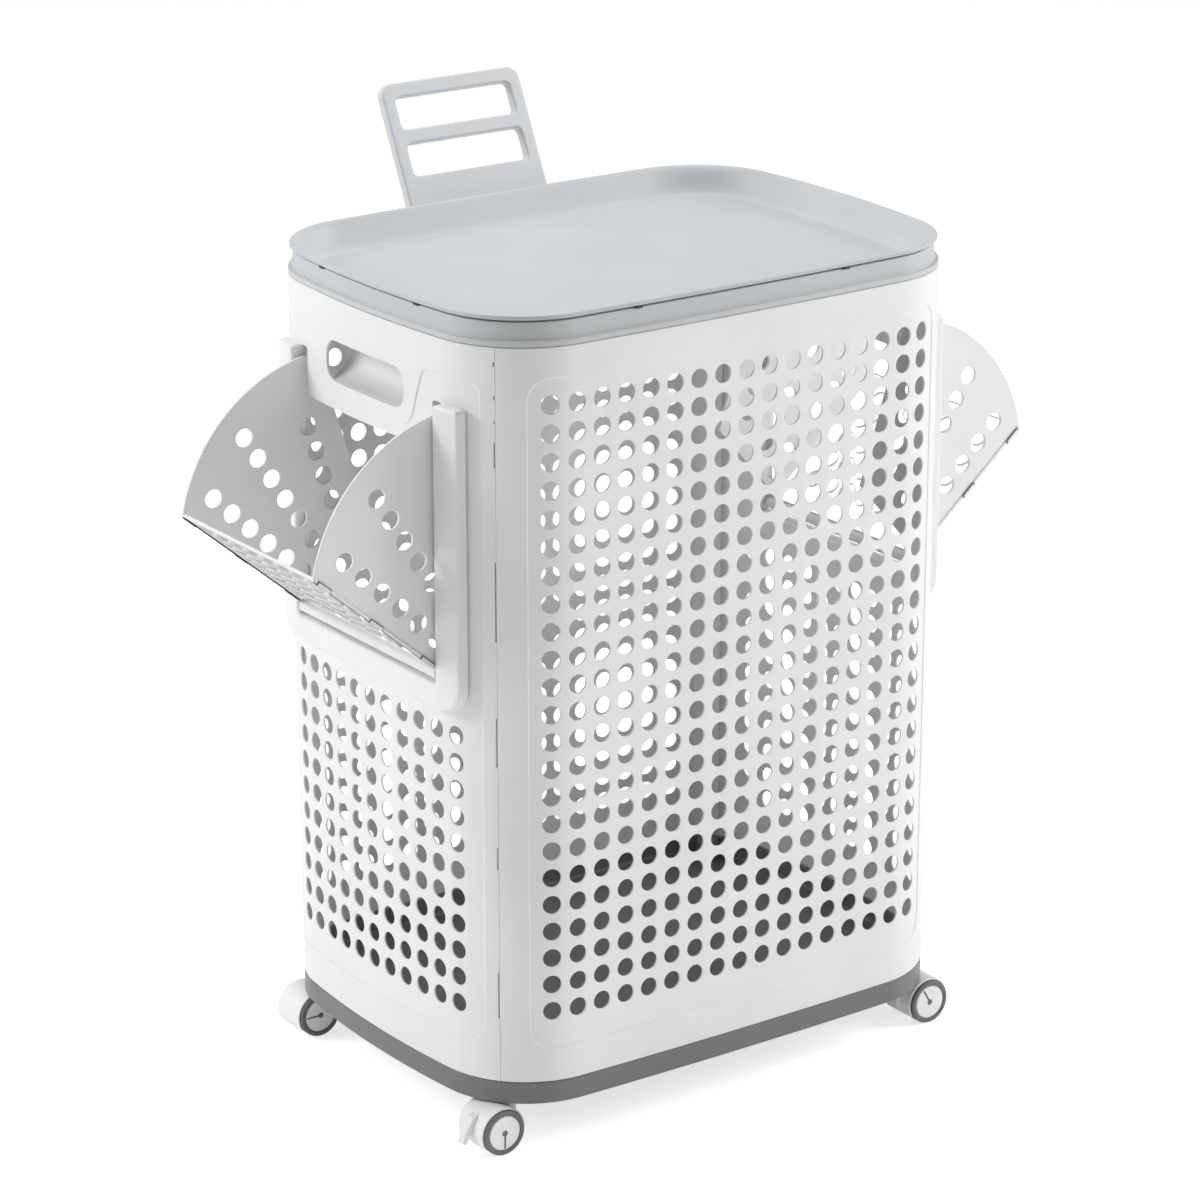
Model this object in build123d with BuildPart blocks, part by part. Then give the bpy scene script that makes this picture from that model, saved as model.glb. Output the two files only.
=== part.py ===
from build123d import *
from math import cos, isclose, radians, sin
import os

# Laundry hamper on casters: four perforated panels clipped between a base tray and a top
# collar, a lift-off tray lid, a tilting chute in each side and a fold-down handle behind.
# Millimetres, +Z up, front face towards -Y. Everything is drawn round the middle of the body,
# and save() moves it to the origin, on the floor under the middle of the whole envelope.

os.makedirs("parts", exist_ok=True)

# ---- body --------------------------------------------------------------------------------
pitch = 24.0                # hole to hole, both ways
hole_radius = 8.0
wall = 3.0
body_width = 508.0
body_depth = 376.0
corner_radius = 86.0
front_bow = 5.0             # how far the front and back swell past their sharp corners
side_bow = 17.0             # the same for the two sides
body_bottom = 63.0
body_top = 703.0
first_row = 127.0           # height of the lowest row of holes
front_columns, front_rows = 17, 23
side_columns, side_rows = 11, 11
seam_gap = 0.8

# ---- base, collar and tray ----------------------------------------------------------------
base_bottom = 43.0
base_floor = 55.0           # underside of the floor plate
flange_height = 20.0        # upstand and downstand that hold the panels from inside
fit_gap = 0.3               # round moving faces that pass each other
running_gap = 0.1           # pins and shafts in their holes
collar_lip = 5.0
collar_top = 723.0
collar_lean = 5.0           # how far the collar draws in above its lip
collar_inner = 6.8
tray_rim_under = 725.0
tray_top = 729.0
tray_floor = 704.0
tray_floor_inset = 21.5
rim_inset = 1.5
rest_length, rest_width = 14.0, 1.6
boss_wall = 4.0             # round the caster sockets
joiner_thickness, joiner_width = 2.5, 24.0

# ---- chutes -------------------------------------------------------------------------------
frame_face = 257.0          # outer face of the raised frame, from the middle
opening_half = 107.0
opening_bottom, opening_top = 410.0, 607.0
slot_top = 649.0
slot_width = 11.0
bar_width = 29.0
frame_bottom = 388.0
frame_corner = 24.0
hinge_x, hinge_z = 251.5, 418.0
hinge_rod_radius = 2.5
knuckle_radius = 5.0
open_angle = 49.5           # flap from the vertical, as it stands open
flap_length = 157.0
flap_half = 105.5
sheet = 3.0                 # thickness of the flap and its side plates
gusset_outer = 104.5
tab_places = (17.0, 81.0, 145.0)
tab_length = 17.0
slit, tab_root = 0.8, 0.8

# ---- hand holes ---------------------------------------------------------------------------
hand_half = 59.0
hand_bottom, hand_top = 632.0, 667.0
scoop_radius = 23.0
scoop_wall = 2.4

# ---- handle -------------------------------------------------------------------------------
handle_pin_y, handle_pin_z = 198.0, 700.0
handle_pin_radius = 3.0
handle_lean = 26.0          # from the vertical
handle_length = 134.0
handle_width = 146.0
handle_thickness = 10.0
handle_slot_length, handle_slot_height = 120.0, 29.0
handle_slot_places = (63.7, 106.0)
bracket_wall, bracket_height = 4.0, 40.0
lug_thickness = 6.0
lug_radius = 8.0

# ---- casters ------------------------------------------------------------------------------
swivel_x, swivel_y = 214.0, 146.5
trail = 17.0
axle_height = 20.0
wheel_radius = 20.0
tyre_inner = 15.5
wheel_inner_face, wheel_outer_face = 7.2, 20.4
hood_radius, hood_inner = 22.0, 20.6
hood_half, web_half = 17.5, 6.6
axle_radius = 2.5
stem_radius = 4.0
stem_bottom, stem_top = 22.0, 72.0
boss_bottom, skirt = 14.0, 9.0  # lower ends of the swivel boss and of the hood
socket_radius = 6.0
lever_half = 4.0
lever_x, lever_z = 14.0, 13.0   # brake lever pivot, from the axle
lever_pin_radius = 1.5


def plan(inset, height):
    """Plan outline of the body, drawn in by inset, as a face at the given height."""
    x, y = body_width / 2 - side_bow - inset, body_depth / 2 - front_bow - inset
    with BuildSketch(Plane.XY.offset(height)) as outline:
        with BuildLine():
            ThreePointArc((-x, -y), (0, -y - front_bow), (x, -y))
            ThreePointArc((x, -y), (x + side_bow, 0), (x, y))
            ThreePointArc((x, y), (0, y + front_bow), (-x, y))
            ThreePointArc((-x, y), (-x - side_bow, 0), (-x, -y))
        make_face()
        fillet(outline.vertices(), corner_radius - inset)
    return outline.sketch


corner_arcs = [e for e in plan(0, 0).edges() if isclose(e.radius, corner_radius, abs_tol=0.1)]
corner_x = max(arc.arc_center.X for arc in corner_arcs)
corner_y = max(arc.arc_center.Y for arc in corner_arcs)
body_height = body_top - body_bottom
reach = 200.0               # long enough to pass any wall

# the handle reaches out behind, so the origin is set back under the middle of the whole envelope
envelope_back = (handle_pin_y + handle_length * sin(radians(handle_lean))
                 + handle_thickness / 2 * cos(radians(handle_lean)))
middle_y = (envelope_back - body_depth / 2) / 2


def save(piece, name):
    """Label a finished piece and write it, moved from the middle of the body to the origin."""
    with BuildPart() as placed:
        with Locations((0, -middle_y, 0)):
            add(piece)
    placed.part.label = name
    export_step(placed.part, f"parts/{name}.step")


# ---- panels -------------------------------------------------------------------------------
with BuildPart() as front_panel:
    extrude(plan(0, body_bottom), amount=body_height)
    with BuildSketch(Plane.XY.offset(body_bottom)):
        half, near = corner_x - seam_gap, -corner_y
        with BuildLine():
            Polyline((-half, near), (-half - reach, near - reach), (half + reach, near - reach),
                     (half, near), close=True)
        make_face()
    extrude(amount=body_height, mode=Mode.INTERSECT)
    extrude(plan(wall, body_bottom), amount=body_height, mode=Mode.SUBTRACT)
    with BuildSketch(Plane.XZ.offset(corner_y)):
        with Locations((0, first_row + pitch * (front_rows - 1) / 2)):
            with GridLocations(pitch, pitch, front_columns, front_rows):
                Circle(hole_radius)
    extrude(amount=reach, mode=Mode.SUBTRACT)
save(front_panel.part, "front_panel")

with BuildPart() as back_panel:
    mirror(front_panel.part, about=Plane.XZ)
save(back_panel.part, "back_panel")

with BuildPart() as left_panel:
    extrude(plan(0, body_bottom), amount=body_height)
    with BuildSketch(Plane.XY.offset(body_bottom)):
        side, half = -corner_x, corner_y - seam_gap
        with BuildLine():
            Polyline((side, -half), (side - reach, -half - reach), (side - reach, half + reach),
                     (side, half), close=True)
        make_face()
    extrude(amount=body_height, mode=Mode.INTERSECT)
    # raised frame down both sides of the chute and below it
    with BuildSketch(Plane.YZ.offset(-frame_face)) as frame_sketch:
        outer_half = opening_half + bar_width
        with Locations((0, (frame_bottom + slot_top) / 2)):
            Rectangle(2 * outer_half, slot_top - frame_bottom)
        fillet(frame_sketch.vertices().group_by(Axis.Z)[0], frame_corner)
        with Locations((0, (opening_bottom + slot_top) / 2)):
            Rectangle(2 * opening_half, slot_top - opening_bottom, mode=Mode.SUBTRACT)
    extrude(amount=frame_face - corner_x)
    extrude(plan(wall, body_bottom), amount=body_height, mode=Mode.SUBTRACT)
    # chute opening with a narrow slot up each side for the chute's side plates
    with BuildSketch(Plane.YZ.offset(-frame_face - 1)):
        with Locations((0, (opening_bottom + opening_top) / 2)):
            Rectangle(2 * opening_half, opening_top - opening_bottom)
        for side in (-1, 1):
            with Locations((side * (opening_half - slot_width / 2), (opening_bottom + slot_top) / 2)):
                Rectangle(slot_width, slot_top - opening_bottom)
        with Locations((0, (hand_bottom + hand_top) / 2)):
            RectangleRounded(2 * hand_half, hand_top - hand_bottom, 14)
        with Locations((0, first_row + pitch * (side_rows - 1) / 2)):
            with GridLocations(pitch, pitch, side_columns, side_rows):
                Circle(hole_radius)
    extrude(amount=frame_face - corner_x, mode=Mode.SUBTRACT)
    # curled scoop behind the hand hole
    scoop_x = -body_width / 2 + wall
    scoop_z = hand_bottom + scoop_radius
    with BuildSketch(Plane.XZ.offset(-hand_half)):
        with BuildLine():
            arc = CenterArc((scoop_x - 1, scoop_z), scoop_radius, -90, 90)
            outer = CenterArc((scoop_x - 1, scoop_z), scoop_radius + scoop_wall, -90, 90)
            Line(arc @ 0, outer @ 0)
            Line(arc @ 1, outer @ 1)
        make_face()
    extrude(amount=2 * hand_half)
    # sockets for the ends of the hinge rod
    with BuildSketch(Plane.XZ.offset(-opening_half - 6)):
        with Locations((-hinge_x, hinge_z)):
            Circle(hinge_rod_radius)
    extrude(amount=2 * opening_half + 12, mode=Mode.SUBTRACT)
save(left_panel.part, "left_panel")

with BuildPart() as right_panel:
    mirror(left_panel.part, about=Plane.YZ)
save(right_panel.part, "right_panel")

# strips that bridge the four seams from inside
joiner_bottom = body_bottom + flange_height
joiner_height = body_height - 2 * flange_height - 5
with BuildPart() as corner_joiners:
    extrude(plan(wall, joiner_bottom), amount=joiner_height)
    extrude(plan(wall + joiner_thickness, joiner_bottom), amount=joiner_height, mode=Mode.SUBTRACT)
    seam_x, seam_y = (place + corner_radius * sin(radians(45)) for place in (corner_x, corner_y))
    with BuildSketch(Plane.XY.offset(joiner_bottom)):
        for sx, sy in ((1, 1), (-1, 1), (-1, -1), (1, -1)):
            with Locations((sx * seam_x, sy * seam_y)):
                Rectangle(joiner_width, joiner_width, rotation=45)
    extrude(amount=joiner_height, mode=Mode.INTERSECT)
save(corner_joiners.part, "corner_joiners")

# ---- base ---------------------------------------------------------------------------------
with BuildPart() as base_tray:
    extrude(plan(0, base_bottom), amount=body_bottom - base_bottom)
    extrude(plan(wall + fit_gap, body_bottom), amount=flange_height - 5)
    extrude(plan(wall, base_bottom), amount=base_floor - base_bottom, mode=Mode.SUBTRACT)
    extrude(plan(2 * wall + fit_gap, base_floor + wall), amount=reach, mode=Mode.SUBTRACT)
    # bosses that take the caster sockets
    with BuildSketch(Plane.XY.offset(base_bottom + 0.5)):
        with GridLocations(2 * swivel_x, 2 * swivel_y, 2, 2):
            Circle(socket_radius + boss_wall)
    extrude(amount=stem_top + 5 - base_bottom)
    with BuildSketch(Plane.XY.offset(base_bottom)):
        with GridLocations(2 * swivel_x, 2 * swivel_y, 2, 2):
            Circle(socket_radius)
    extrude(amount=stem_top + 1 - base_bottom, mode=Mode.SUBTRACT)
save(base_tray.part, "base_tray")

with BuildPart() as caster_sockets:
    with BuildSketch(Plane.XY.offset(base_bottom + 0.5)):
        with GridLocations(2 * swivel_x, 2 * swivel_y, 2, 2):
            Circle(socket_radius)
            Circle(stem_radius + running_gap, mode=Mode.SUBTRACT)
    extrude(amount=stem_top - base_bottom)
save(caster_sockets.part, "caster_sockets")

# ---- collar and tray lid ------------------------------------------------------------------
lip_top = body_top + collar_lip
with BuildPart() as top_collar:
    extrude(plan(0, body_top), amount=collar_lip)
    loft([plan(0, lip_top), plan(collar_lean, collar_top)], ruled=True)
    extrude(plan(wall + fit_gap, body_top - flange_height), amount=flange_height)
    extrude(plan(collar_inner, body_top - flange_height), amount=reach, mode=Mode.SUBTRACT)
    # small rests that hold the tray's rim off the collar
    with BuildSketch(Plane.XY.offset(collar_top)):
        with GridLocations(body_width / 2, body_depth - 11.4, 2, 2):
            Rectangle(rest_length, rest_width)
        with GridLocations(body_width - 13.0, body_depth / 2.6, 2, 2):
            Rectangle(rest_width, rest_length)
    extrude(amount=tray_rim_under - collar_top)
save(top_collar.part, "top_collar")

bowl_step = tray_top - 4.5
with BuildPart() as tray_lid:
    extrude(plan(rim_inset, tray_rim_under + fit_gap), amount=tray_top - tray_rim_under - fit_gap)
    loft([plan(tray_floor_inset - 2, tray_floor - 2.5), plan(7.3, tray_rim_under + fit_gap)], ruled=True)
    loft([plan(9.4, bowl_step), plan(4.5, tray_top)], ruled=True, mode=Mode.SUBTRACT)
    loft([plan(tray_floor_inset, tray_floor), plan(9.4, bowl_step)], ruled=True, mode=Mode.SUBTRACT)
save(tray_lid.part, "tray_lid")

# ---- chutes -------------------------------------------------------------------------------
lean = radians(open_angle)


def chute_plane(y):
    """Upright plane across the left chute: local X runs up the flap, local Y inwards."""
    return Plane(origin=(-hinge_x, y, hinge_z), x_dir=(-sin(lean), 0, cos(lean)), z_dir=(0, 1, 0))


flap_plane = Plane(origin=(-hinge_x, 0, hinge_z), x_dir=(-sin(lean), 0, cos(lean)),
                   z_dir=(cos(lean), 0, sin(lean)))
with BuildPart() as left_flap:
    with BuildSketch(flap_plane.offset(-sheet / 2)):
        with Locations((flap_length / 2, 0)):
            Rectangle(flap_length, 2 * flap_half)
    extrude(amount=sheet)
    with BuildSketch(chute_plane(-flap_half)):
        Circle(knuckle_radius)
    extrude(amount=2 * flap_half)
    with BuildSketch(chute_plane(-flap_half)):
        Circle(hinge_rod_radius + running_gap)
    extrude(amount=2 * flap_half, mode=Mode.SUBTRACT)
    with BuildSketch(flap_plane.offset(-sheet)):
        with Locations((flap_length / 2 + 6, 0)):
            with GridLocations(pitch, pitch, 5, 7):
                Circle(hole_radius)
    extrude(amount=2 * sheet, mode=Mode.SUBTRACT)
    for edge in (-gusset_outer, gusset_outer - sheet):
        with BuildSketch(chute_plane(edge)):
            for place in tab_places:
                with Locations((place, 0)):
                    Rectangle(tab_length, sheet + 1)
        extrude(amount=sheet, mode=Mode.SUBTRACT)
save(left_flap.part, "left_chute_flap")

# side plate outline in chute_plane axes
tip = Vector(flap_length, sheet / 2 + slit)
arc_centre, arc_radius = Vector(25.9, 74.4), 150.5
top_corner = Vector(133.0, 180.2)
inner_corner = Vector(4.8, 101.0)
heel = Vector(6.5, 7.0)
fan_focus = Vector(-74.2, 17.6)
fan_rows = ((3, 94.5, 6), (17, 111.5, 6), (32, 132.0, 4))
crown = arc_centre + Vector(cos(radians(12)), sin(radians(12))) * arc_radius


def side_plate(y, name):
    """One fan-shaped side plate of the left chute, its outer face starting at y."""
    with BuildPart() as gusset:
        with BuildSketch(chute_plane(y)):
            with BuildLine():
                ThreePointArc(tip, crown, top_corner)
                Polyline(top_corner, inner_corner, heel, (heel.X, tip.Y), tip)
            make_face()
            for angle, start, count in fan_rows:
                for step in range(count):
                    along = start + pitch * step
                    with Locations((fan_focus.X + along * cos(radians(angle)),
                                    fan_focus.Y + along * sin(radians(angle)))):
                        Circle(hole_radius, mode=Mode.SUBTRACT)
        extrude(amount=sheet)
        with BuildSketch(chute_plane(y)):
            for place in tab_places:
                with Locations((place, (slit + tab_root) / 2)):
                    Rectangle(tab_length, sheet + slit + tab_root)
        extrude(amount=sheet)
    save(gusset.part, name)
    return gusset.part


left_front_plate = side_plate(-gusset_outer, "left_side_plate_front")
left_back_plate = side_plate(gusset_outer - sheet, "left_side_plate_back")

with BuildPart() as left_hinge_rod:
    with BuildSketch(Plane.XZ.offset(-opening_half - 5)):
        with Locations((-hinge_x, hinge_z)):
            Circle(hinge_rod_radius)
    extrude(amount=2 * opening_half + 10)
save(left_hinge_rod.part, "left_hinge_rod")

for piece, name in ((left_flap.part, "right_chute_flap"), (left_front_plate, "right_side_plate_front"),
                    (left_back_plate, "right_side_plate_back"), (left_hinge_rod.part, "right_hinge_rod")):
    with BuildPart() as mirrored:
        mirror(piece, about=Plane.YZ)
    save(mirrored.part, name)

# ---- handle -------------------------------------------------------------------------------
tilt = radians(handle_lean)
handle_plane = Plane(origin=(0, handle_pin_y, handle_pin_z), x_dir=(1, 0, 0),
                     z_dir=(0, -cos(tilt), sin(tilt)))
lug_half = handle_width / 2 + 1

with BuildPart() as handle_plate:
    with BuildSketch(handle_plane.offset(-handle_thickness / 2)) as handle_sketch:
        with Locations((0, handle_length / 2)):
            Rectangle(handle_width, handle_length)
        fillet(handle_sketch.vertices().group_by(Axis.Z)[-1], 12)
        for place in handle_slot_places:
            with Locations((0, place)):
                RectangleRounded(handle_slot_length, handle_slot_height, 5, mode=Mode.SUBTRACT)
    extrude(amount=handle_thickness)
    with BuildSketch(Plane.YZ.offset(-handle_width / 2)):
        with Locations((handle_pin_y, handle_pin_z)):
            Circle(handle_thickness / 2)
    extrude(amount=handle_width)
    with BuildSketch(Plane.YZ.offset(-handle_width / 2)):
        with Locations((handle_pin_y, handle_pin_z)):
            Circle(handle_pin_radius + running_gap)
    extrude(amount=handle_width, mode=Mode.SUBTRACT)
save(handle_plate.part, "handle_plate")

with BuildPart() as handle_bracket:
    bracket_bottom = handle_pin_z - bracket_height
    extrude(plan(-bracket_wall, bracket_bottom), amount=bracket_height)
    extrude(plan(0, bracket_bottom), amount=bracket_height, mode=Mode.SUBTRACT)
    with BuildSketch(Plane.XZ.offset(-body_depth / 2 - bracket_wall - 1)):
        with Locations((0, bracket_bottom + bracket_height / 2)):
            Rectangle(2 * (lug_half + lug_thickness), bracket_height)
    extrude(amount=reach / 2, mode=Mode.INTERSECT)
    for start in (-lug_half - lug_thickness, lug_half):
        with BuildSketch(Plane.YZ.offset(start)):
            with Locations((handle_pin_y, handle_pin_z)):
                Circle(lug_radius)
            with BuildLine():
                root = body_depth / 2 + bracket_wall / 2
                Polyline((root, bracket_bottom + 2), (handle_pin_y + lug_radius, handle_pin_z),
                         (handle_pin_y - 6, handle_pin_z), (root, handle_pin_z - 2), close=True)
            make_face()
            with Locations((handle_pin_y, handle_pin_z)):
                Circle(handle_pin_radius, mode=Mode.SUBTRACT)
        extrude(amount=lug_thickness)
save(handle_bracket.part, "handle_bracket")

with BuildPart() as handle_pin:
    with BuildSketch(Plane.YZ.offset(-lug_half - lug_thickness)):
        with Locations((handle_pin_y, handle_pin_z)):
            Circle(handle_pin_radius)
    extrude(amount=2 * (lug_half + lug_thickness))
save(handle_pin.part, "handle_pin")

# ---- casters: drawn round the swivel axis, rolling along X, then set out at the corners ----
def across(y):
    """Plane across the axle at y, with its origin on the axle."""
    return Plane(origin=(trail, y, axle_height), x_dir=(1, 0, 0), z_dir=(0, 1, 0))


def round_bar(radius, start, length, bore=0):
    """Bar or sleeve along the axle."""
    with BuildPart() as bar:
        with BuildSketch(across(start)):
            Circle(radius)
            if bore:
                Circle(bore, mode=Mode.SUBTRACT)
        extrude(amount=length)
    return bar.part


def caster_hood(braked):
    """White hood over both wheels, with its web, swivel boss and, if braked, the lever's slot."""
    boss_top = base_bottom - 2 * fit_gap
    with BuildPart() as hood:
        with BuildSketch(across(-hood_half)):
            Circle(hood_radius)
        extrude(amount=2 * hood_half)
        for start in (-hood_half, web_half):
            with BuildSketch(across(start)):
                Circle(hood_inner)
            extrude(amount=hood_half - web_half, mode=Mode.SUBTRACT)
        # open below, so that the tyres reach the floor
        with BuildSketch(Plane.XY.offset(skirt)):
            with Locations((trail, 0)):
                Rectangle(3 * hood_radius, 3 * hood_radius)
        extrude(amount=-hood_radius, mode=Mode.SUBTRACT)
        with BuildSketch(Plane.XY.offset(boss_bottom)):
            Circle(web_half)
        extrude(amount=boss_top - boss_bottom)
        with BuildSketch(Plane.XY.offset(stem_bottom)):
            Circle(stem_radius)
        extrude(amount=boss_top - stem_bottom, mode=Mode.SUBTRACT)
        with BuildSketch(across(-web_half)):
            Circle(axle_radius)
        extrude(amount=2 * web_half, mode=Mode.SUBTRACT)
        if braked:
            with BuildSketch(across(-lever_half - fit_gap)):
                with Locations((20.5, -3.5)):
                    Rectangle(23, 31)
            extrude(amount=2 * (lever_half + fit_gap), mode=Mode.SUBTRACT)
            with BuildSketch(across(-web_half)):
                with Locations((lever_x, -lever_z)):
                    Circle(lever_pin_radius + running_gap)
            extrude(amount=2 * web_half, mode=Mode.SUBTRACT)
    return hood.part


def brake_lever():
    """Foot tab that tips on two stub pins between the walls of the hood's slot."""
    with BuildPart() as lever:
        with BuildSketch(across(-lever_half)):
            with Locations((lever_x, -lever_z)):
                Circle(3.4)
            with BuildLine():
                Polyline((lever_x - 1, -lever_z - 3.2), (lever_x + 8, -lever_z - 1), (30, 1), (32, 8),
                         (28.5, 9), (24, 0), (lever_x + 3, -lever_z + 2.5), (lever_x - 1, -lever_z + 3.2),
                         close=True)
            make_face()
        extrude(amount=2 * lever_half)
        with BuildSketch(across(-web_half)):
            with Locations((lever_x, -lever_z)):
                Circle(lever_pin_radius)
        extrude(amount=2 * web_half)
    return lever.part


def tyre(start):
    """Grey tread ring with eased edges."""
    with BuildPart() as ring:
        with BuildSketch(across(start)):
            Circle(wheel_radius)
        extrude(amount=wheel_outer_face - wheel_inner_face)
        fillet(ring.edges(), 1.2)
        with BuildSketch(across(start)):
            Circle(tyre_inner)
        extrude(amount=wheel_outer_face - wheel_inner_face, mode=Mode.SUBTRACT)
    return ring.part


def hub(side):
    """White wheel centre, bored from inside, with a sunk dot and spoke on its outer face."""
    face = wheel_outer_face - 0.4
    low, high = sorted((side * wheel_inner_face, side * face))
    with BuildPart() as disc:
        with BuildSketch(across(low)):
            Circle(tyre_inner)
        extrude(amount=high - low)
        low, high = sorted((side * wheel_inner_face, side * (face - 2.5)))
        with BuildSketch(across(low)):
            Circle(axle_radius + running_gap)
        extrude(amount=high - low, mode=Mode.SUBTRACT)
        low, high = sorted((side * (face - 0.6), side * face))
        with BuildSketch(across(low)):
            Circle(2.6)
            with Locations((0, tyre_inner / 2)):
                Rectangle(1.8, tyre_inner + 1)
        extrude(amount=high - low, mode=Mode.SUBTRACT)
    return disc.part


with BuildPart() as stem:
    with BuildSketch(Plane.XY.offset(stem_bottom)):
        Circle(stem_radius)
    extrude(amount=stem_top - 1 - stem_bottom)

axle = round_bar(axle_radius, -wheel_outer_face + 4, 2 * wheel_outer_face - 8)
outer_tyre, inner_tyre = tyre(-wheel_outer_face), tyre(wheel_inner_face)
outer_hub, inner_hub = hub(-1), hub(1)
corners = (("front_left", -1, -1, True), ("front_right", 1, -1, False),
           ("back_left", -1, 1, False), ("back_right", 1, 1, True))
for corner, sx, sy, braked in corners:
    heading = 180 if sx < 0 else 0
    pieces = [("stem", stem.part), ("hood", caster_hood(braked)), ("axle", axle),
              ("tyre_a", outer_tyre), ("hub_a", outer_hub), ("tyre_b", inner_tyre), ("hub_b", inner_hub)]
    if braked:
        pieces.append(("brake_lever", brake_lever()))
    for kind, piece in pieces:
        with BuildPart() as placed:
            with Locations(Location((sx * swivel_x, sy * swivel_y, 0), (0, 0, heading))):
                add(piece)
        save(placed.part, f"caster_{corner}_{kind}")
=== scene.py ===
from math import atan2, ceil, cos, pi, radians, sin, sqrt, tan

import bmesh
import bpy
import numpy as np
from mathutils import Matrix, Vector
from mathutils.geometry import delaunay_2d_cdt


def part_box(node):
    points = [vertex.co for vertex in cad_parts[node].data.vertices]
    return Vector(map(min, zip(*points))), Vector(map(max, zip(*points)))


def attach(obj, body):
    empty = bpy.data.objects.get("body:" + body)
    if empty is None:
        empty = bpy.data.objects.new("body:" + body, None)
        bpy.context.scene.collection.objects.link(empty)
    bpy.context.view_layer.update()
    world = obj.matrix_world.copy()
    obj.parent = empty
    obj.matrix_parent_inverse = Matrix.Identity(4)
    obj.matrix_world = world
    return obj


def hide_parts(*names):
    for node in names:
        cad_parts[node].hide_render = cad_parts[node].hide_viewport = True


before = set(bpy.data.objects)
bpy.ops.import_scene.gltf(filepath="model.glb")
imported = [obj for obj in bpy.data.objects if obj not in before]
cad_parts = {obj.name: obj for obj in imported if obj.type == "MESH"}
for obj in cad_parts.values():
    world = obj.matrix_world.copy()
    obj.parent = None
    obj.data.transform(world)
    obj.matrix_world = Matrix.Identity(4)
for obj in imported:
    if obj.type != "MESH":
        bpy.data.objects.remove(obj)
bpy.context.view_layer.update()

# ---- sizes, in millimetres; the places of things come from the CAD nodes' boxes ------------
mm = 0.001


def node_box(node):
    """Lowest and highest corner of a CAD node, in millimetres."""
    return [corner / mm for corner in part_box(node)]


collar_low, collar_high = node_box("top_collar")
panel_low, panel_high = node_box("front_panel")
base_low, base_high = node_box("base_tray")
tray_low, tray_high = node_box("tray_lid")
frame_face = -node_box("left_panel")[0].x

body_width = collar_high.x - collar_low.x
body_depth = collar_high.y - collar_low.y
middle_y = (collar_high.y + collar_low.y) / 2
corner_radius = 86.0
front_bow, side_bow = 5.0, 17.0
wall = 3.0

pitch, hole_radius = 24.0, 8.0
first_row = panel_low.z + 64
front_columns, front_rows = 17, 23
side_columns, side_rows = 11, 11

opening_half, opening_bottom, opening_top = 107.0, panel_low.z + 347, panel_low.z + 544
slot_width, slot_top = 11.0, panel_low.z + 586
frame_bar, frame_bottom = 29.0, panel_low.z + 325
hand_half, hand_bottom, hand_top = 59.0, panel_low.z + 569, panel_low.z + 604
scoop_radius, scoop_wall = 23.0, 2.4


# ---- mesh making --------------------------------------------------------------------------
class Shape:
    """Points, in metres, and faces, gathered before they become one mesh."""

    def __init__(self):
        self.points, self.faces = [], []

    def add(self, points, faces):
        first = len(self.points)
        self.points += points
        self.faces += [[first + i for i in face] for face in faces]

    def rows(self, rows, closed=True):
        """Quads between rows of points; each row is a closed loop, or open."""
        count = len(rows[0])
        faces = []
        for r in range(len(rows) - 1):
            for i in range(count if closed else count - 1):
                j = (i + 1) % count
                faces.append([r * count + i, r * count + j, (r + 1) * count + j, (r + 1) * count + i])
        self.add([point for row in rows for point in row], faces)

    def cap(self, loop):
        self.add(list(loop), [list(range(len(loop)))])


def piece(name, shape, body, material, replaces=(), crease=40):
    """Mesh object from a shape, riding on a body, with smooth faces and even normals."""
    mesh = bpy.data.meshes.new(name)
    mesh.from_pydata(shape.points, [], shape.faces)
    work = bmesh.new()
    work.from_mesh(mesh)
    bmesh.ops.remove_doubles(work, verts=work.verts, dist=4e-6)
    bmesh.ops.recalc_face_normals(work, faces=work.faces)
    work.to_mesh(mesh)
    work.free()
    return finished(name, mesh, body, material, replaces, crease)


def finished(name, mesh, body, material, replaces=(), crease=40):
    mesh.shade_smooth()
    mesh.set_sharp_from_angle(angle=radians(crease))
    mesh.materials.clear()
    mesh.materials.append(material)
    thing = bpy.data.objects.new(name, mesh)
    bpy.context.scene.collection.objects.link(thing)
    even = thing.modifiers.new("even_normals", "WEIGHTED_NORMAL")
    even.weight = 100
    even.keep_sharp = True
    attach(thing, body)
    if replaces:
        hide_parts(*replaces)
    return thing


def copied(source, name, body, move, replaces=()):
    """Copy of a piece, moved or mirrored by a matrix, riding on its own body."""
    mesh = source.data.copy()
    mesh.transform(move)
    if move.determinant() < 0:
        mesh.flip_normals()
    return finished(name, mesh, body, source.data.materials[0], replaces)


mirror_x = Matrix.Scale(-1, 4, Vector((1, 0, 0)))
mirror_y = (Matrix.Translation((0, 2 * middle_y * mm, 0)) @ Matrix.Scale(-1, 4, Vector((0, 1, 0))))


def inset(loop, distance):
    """The closed loop moved to its left by distance."""
    moved = []
    for i, here in enumerate(loop):
        before, after = loop[i - 1], loop[(i + 1) % len(loop)]
        first = Vector((here[0] - before[0], here[1] - before[1])).normalized()
        second = Vector((after[0] - here[0], after[1] - here[1])).normalized()
        mitre = 1 + first.dot(second)
        moved.append((here[0] - distance * (first.y + second.y) / mitre,
                      here[1] + distance * (first.x + second.x) / mitre))
    return moved


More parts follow.
